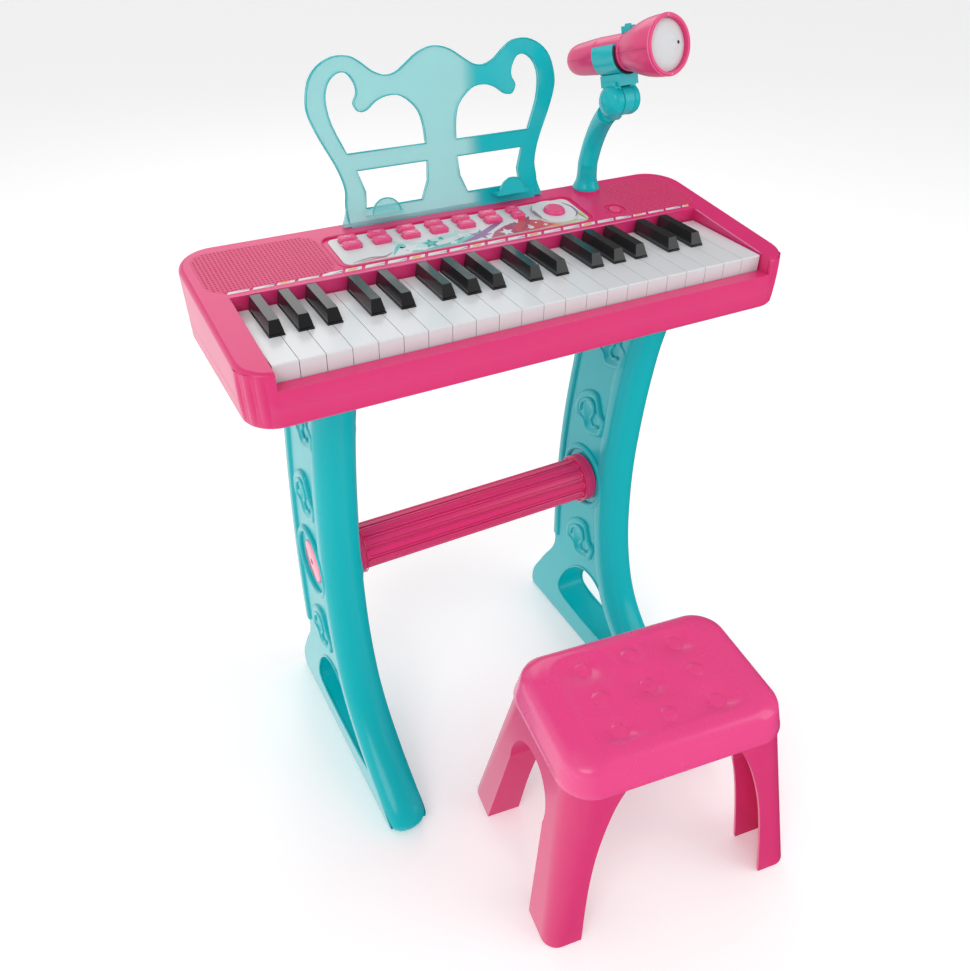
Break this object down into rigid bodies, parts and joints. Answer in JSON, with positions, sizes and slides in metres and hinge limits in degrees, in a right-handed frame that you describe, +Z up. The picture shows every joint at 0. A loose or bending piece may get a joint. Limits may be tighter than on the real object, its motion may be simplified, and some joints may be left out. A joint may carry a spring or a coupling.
{
  "type": "toy electronic keyboard",
  "caption": "Toy electronic keyboard on a two-legged stand with crossbar, music rest, clip-in microphone on a curved arm, and a matching cushioned stool.",
  "frame": {"origin": "on the floor, below the middle of the keyboard and stool taken together", "axes": "+X along the keys to the player's right, +Y away from the player, +Z up"},
  "size_m": [0.4594, 0.4386, 0.6622],
  "materials": {
    "pink": "glossy moulded plastic",
    "teal": "glossy moulded plastic",
    "clear_teal": "glossy, slightly see-through",
    "white_keys": "glossy moulded plastic",
    "black_keys": "glossy moulded plastic",
    "panel": "satin printed label",
    "buttons": "satin",
    "diffuser": "matt",
    "board": "satin",
    "speaker": "matt",
    "screws": "zinc plated"
  },
  "bodies": {
    "stand": {"upper_shell": "pink", "lower_shell": "pink", "control_panel": "panel", "main_board": "board", "speakers": "speaker", "screws": "screws", "leg_left": "teal", "leg_right": "teal", "crossbar": "pink", "crossbar_caps": "pink"},
    "battery_door": {"battery_door": "pink"},
    "music_rest": {"music_rest": "clear_teal"},
    "mic_arm": {"mic_arm": "teal"},
    "mic_clip": {"mic_clip": "teal"},
    "microphone": {"mic_body": "pink", "mic_lens": "diffuser"},
    "mic_switch": {"mic_switch": "teal"},
    "start_button": {"start_button": "buttons"},
    "power_button": {"power_button": "buttons"},
    "rear_button_row": {"rear_button_row": "buttons"},
    "front_button_row": {"front_button_row": "buttons"},
    "stool": {"stool_seat": "pink", "stool_base": "pink"},
    "white_key_01": {"white_key_01": "white_keys"},
    "white_key_02": {"white_key_02": "white_keys"},
    "white_key_03": {"white_key_03": "white_keys"},
    "white_key_04": {"white_key_04": "white_keys"},
    "white_key_05": {"white_key_05": "white_keys"},
    "white_key_06": {"white_key_06": "white_keys"},
    "white_key_07": {"white_key_07": "white_keys"},
    "white_key_08": {"white_key_08": "white_keys"},
    "white_key_09": {"white_key_09": "white_keys"},
    "white_key_10": {"white_key_10": "white_keys"},
    "white_key_11": {"white_key_11": "white_keys"},
    "white_key_12": {"white_key_12": "white_keys"},
    "white_key_13": {"white_key_13": "white_keys"},
    "white_key_14": {"white_key_14": "white_keys"},
    "white_key_15": {"white_key_15": "white_keys"},
    "white_key_16": {"white_key_16": "white_keys"},
    "white_key_17": {"white_key_17": "white_keys"},
    "white_key_18": {"white_key_18": "white_keys"},
    "white_key_19": {"white_key_19": "white_keys"},
    "white_key_20": {"white_key_20": "white_keys"},
    "white_key_21": {"white_key_21": "white_keys"},
    "white_key_22": {"white_key_22": "white_keys"},
    "black_key_01": {"black_key_01": "black_keys"},
    "black_key_02": {"black_key_02": "black_keys"},
    "black_key_03": {"black_key_03": "black_keys"},
    "black_key_04": {"black_key_04": "black_keys"},
    "black_key_05": {"black_key_05": "black_keys"},
    "black_key_06": {"black_key_06": "black_keys"},
    "black_key_07": {"black_key_07": "black_keys"},
    "black_key_08": {"black_key_08": "black_keys"},
    "black_key_09": {"black_key_09": "black_keys"},
    "black_key_10": {"black_key_10": "black_keys"},
    "black_key_11": {"black_key_11": "black_keys"},
    "black_key_12": {"black_key_12": "black_keys"},
    "black_key_13": {"black_key_13": "black_keys"},
    "black_key_14": {"black_key_14": "black_keys"},
    "black_key_15": {"black_key_15": "black_keys"}
  },
  "joints": [
    {"name": "mic_arm_swivel", "type": "hinge", "parent": "stand", "child": "mic_arm", "pos_m": [0.1355, 0.1728, 0.5098], "axis": [0, 0, 1], "range_deg": [-35, 25]},
    {"name": "mic_tilt", "type": "hinge", "parent": "mic_arm", "child": "mic_clip", "pos_m": [0.13994, 0.13909, 0.5917], "axis": [0.9914, 0.1305, 0], "range_deg": [-25, 25]},
    {"name": "mic_pull_out", "type": "slide", "parent": "mic_clip", "child": "microphone", "axis": [0.1255, -0.9535, 0.274], "range_m": [0, 0.075]},
    {"name": "mic_switch_slide", "type": "slide", "parent": "microphone", "child": "mic_switch", "axis": [0.1255, -0.9535, 0.274], "range_m": [0, 0.0055]},
    {"name": "music_rest_lift", "type": "slide", "parent": "stand", "child": "music_rest", "axis": [0, 0.1633, 0.9866], "range_m": [0, 0.025]},
    {"name": "stool_move", "type": "slide", "parent": "stand", "child": "stool", "axis": [0, -1, 0], "range_m": [0, 0.15]},
    {"name": "battery_door_slide", "type": "slide", "parent": "stand", "child": "battery_door", "axis": [0, 1, 0], "range_m": [0, 0.0075]},
    {"name": "start_press", "type": "slide", "parent": "stand", "child": "start_button", "axis": [0, 0.0988, -0.9951], "range_m": [0, 0.0015]},
    {"name": "power_press", "type": "slide", "parent": "stand", "child": "power_button", "axis": [0, 0.0988, -0.9951], "range_m": [0, 0.0012]},
    {"name": "rear_buttons_press", "type": "slide", "parent": "stand", "child": "rear_button_row", "axis": [0, 0.0988, -0.9951], "range_m": [0, 0.0015]},
    {"name": "front_buttons_press", "type": "slide", "parent": "stand", "child": "front_button_row", "axis": [0, 0.0988, -0.9951], "range_m": [0, 0.0015]},
    {"name": "white_key_01_press", "type": "hinge", "parent": "stand", "child": "white_key_01", "pos_m": [0, 0.1493, 0.481], "axis": [1, 0, 0], "range_deg": [0, 2.2]},
    {"name": "white_key_02_press", "type": "hinge", "parent": "stand", "child": "white_key_02", "pos_m": [0, 0.1493, 0.481], "axis": [1, 0, 0], "range_deg": [0, 2.2]},
    {"name": "white_key_03_press", "type": "hinge", "parent": "stand", "child": "white_key_03", "pos_m": [0, 0.1493, 0.481], "axis": [1, 0, 0], "range_deg": [0, 2.2]},
    {"name": "white_key_04_press", "type": "hinge", "parent": "stand", "child": "white_key_04", "pos_m": [0, 0.1493, 0.481], "axis": [1, 0, 0], "range_deg": [0, 2.2]},
    {"name": "white_key_05_press", "type": "hinge", "parent": "stand", "child": "white_key_05", "pos_m": [0, 0.1493, 0.481], "axis": [1, 0, 0], "range_deg": [0, 2.2]},
    {"name": "white_key_06_press", "type": "hinge", "parent": "stand", "child": "white_key_06", "pos_m": [0, 0.1493, 0.481], "axis": [1, 0, 0], "range_deg": [0, 2.2]},
    {"name": "white_key_07_press", "type": "hinge", "parent": "stand", "child": "white_key_07", "pos_m": [0, 0.1493, 0.481], "axis": [1, 0, 0], "range_deg": [0, 2.2]},
    {"name": "white_key_08_press", "type": "hinge", "parent": "stand", "child": "white_key_08", "pos_m": [0, 0.1493, 0.481], "axis": [1, 0, 0], "range_deg": [0, 2.2]},
    {"name": "white_key_09_press", "type": "hinge", "parent": "stand", "child": "white_key_09", "pos_m": [0, 0.1493, 0.481], "axis": [1, 0, 0], "range_deg": [0, 2.2]},
    {"name": "white_key_10_press", "type": "hinge", "parent": "stand", "child": "white_key_10", "pos_m": [0, 0.1493, 0.481], "axis": [1, 0, 0], "range_deg": [0, 2.2]},
    {"name": "white_key_11_press", "type": "hinge", "parent": "stand", "child": "white_key_11", "pos_m": [0, 0.1493, 0.481], "axis": [1, 0, 0], "range_deg": [0, 2.2]},
    {"name": "white_key_12_press", "type": "hinge", "parent": "stand", "child": "white_key_12", "pos_m": [0, 0.1493, 0.481], "axis": [1, 0, 0], "range_deg": [0, 2.2]},
    {"name": "white_key_13_press", "type": "hinge", "parent": "stand", "child": "white_key_13", "pos_m": [0, 0.1493, 0.481], "axis": [1, 0, 0], "range_deg": [0, 2.2]},
    {"name": "white_key_14_press", "type": "hinge", "parent": "stand", "child": "white_key_14", "pos_m": [0, 0.1493, 0.481], "axis": [1, 0, 0], "range_deg": [0, 2.2]},
    {"name": "white_key_15_press", "type": "hinge", "parent": "stand", "child": "white_key_15", "pos_m": [0, 0.1493, 0.481], "axis": [1, 0, 0], "range_deg": [0, 2.2]},
    {"name": "white_key_16_press", "type": "hinge", "parent": "stand", "child": "white_key_16", "pos_m": [0, 0.1493, 0.481], "axis": [1, 0, 0], "range_deg": [0, 2.2]},
    {"name": "white_key_17_press", "type": "hinge", "parent": "stand", "child": "white_key_17", "pos_m": [0, 0.1493, 0.481], "axis": [1, 0, 0], "range_deg": [0, 2.2]},
    {"name": "white_key_18_press", "type": "hinge", "parent": "stand", "child": "white_key_18", "pos_m": [0, 0.1493, 0.481], "axis": [1, 0, 0], "range_deg": [0, 2.2]},
    {"name": "white_key_19_press", "type": "hinge", "parent": "stand", "child": "white_key_19", "pos_m": [0, 0.1493, 0.481], "axis": [1, 0, 0], "range_deg": [0, 2.2]},
    {"name": "white_key_20_press", "type": "hinge", "parent": "stand", "child": "white_key_20", "pos_m": [0, 0.1493, 0.481], "axis": [1, 0, 0], "range_deg": [0, 2.2]},
    {"name": "white_key_21_press", "type": "hinge", "parent": "stand", "child": "white_key_21", "pos_m": [0, 0.1493, 0.481], "axis": [1, 0, 0], "range_deg": [0, 2.2]},
    {"name": "white_key_22_press", "type": "hinge", "parent": "stand", "child": "white_key_22", "pos_m": [0, 0.1493, 0.481], "axis": [1, 0, 0], "range_deg": [0, 2.2]},
    {"name": "black_key_01_press", "type": "hinge", "parent": "stand", "child": "black_key_01", "pos_m": [0, 0.1493, 0.481], "axis": [1, 0, 0], "range_deg": [0, 2.2]},
    {"name": "black_key_02_press", "type": "hinge", "parent": "stand", "child": "black_key_02", "pos_m": [0, 0.1493, 0.481], "axis": [1, 0, 0], "range_deg": [0, 2.2]},
    {"name": "black_key_03_press", "type": "hinge", "parent": "stand", "child": "black_key_03", "pos_m": [0, 0.1493, 0.481], "axis": [1, 0, 0], "range_deg": [0, 2.2]},
    {"name": "black_key_04_press", "type": "hinge", "parent": "stand", "child": "black_key_04", "pos_m": [0, 0.1493, 0.481], "axis": [1, 0, 0], "range_deg": [0, 2.2]},
    {"name": "black_key_05_press", "type": "hinge", "parent": "stand", "child": "black_key_05", "pos_m": [0, 0.1493, 0.481], "axis": [1, 0, 0], "range_deg": [0, 2.2]},
    {"name": "black_key_06_press", "type": "hinge", "parent": "stand", "child": "black_key_06", "pos_m": [0, 0.1493, 0.481], "axis": [1, 0, 0], "range_deg": [0, 2.2]},
    {"name": "black_key_07_press", "type": "hinge", "parent": "stand", "child": "black_key_07", "pos_m": [0, 0.1493, 0.481], "axis": [1, 0, 0], "range_deg": [0, 2.2]},
    {"name": "black_key_08_press", "type": "hinge", "parent": "stand", "child": "black_key_08", "pos_m": [0, 0.1493, 0.481], "axis": [1, 0, 0], "range_deg": [0, 2.2]},
    {"name": "black_key_09_press", "type": "hinge", "parent": "stand", "child": "black_key_09", "pos_m": [0, 0.1493, 0.481], "axis": [1, 0, 0], "range_deg": [0, 2.2]},
    {"name": "black_key_10_press", "type": "hinge", "parent": "stand", "child": "black_key_10", "pos_m": [0, 0.1493, 0.481], "axis": [1, 0, 0], "range_deg": [0, 2.2]},
    {"name": "black_key_11_press", "type": "hinge", "parent": "stand", "child": "black_key_11", "pos_m": [0, 0.1493, 0.481], "axis": [1, 0, 0], "range_deg": [0, 2.2]},
    {"name": "black_key_12_press", "type": "hinge", "parent": "stand", "child": "black_key_12", "pos_m": [0, 0.1493, 0.481], "axis": [1, 0, 0], "range_deg": [0, 2.2]},
    {"name": "black_key_13_press", "type": "hinge", "parent": "stand", "child": "black_key_13", "pos_m": [0, 0.1493, 0.481], "axis": [1, 0, 0], "range_deg": [0, 2.2]},
    {"name": "black_key_14_press", "type": "hinge", "parent": "stand", "child": "black_key_14", "pos_m": [0, 0.1493, 0.481], "axis": [1, 0, 0], "range_deg": [0, 2.2]},
    {"name": "black_key_15_press", "type": "hinge", "parent": "stand", "child": "black_key_15", "pos_m": [0, 0.1493, 0.481], "axis": [1, 0, 0], "range_deg": [0, 2.2]}
  ]
}
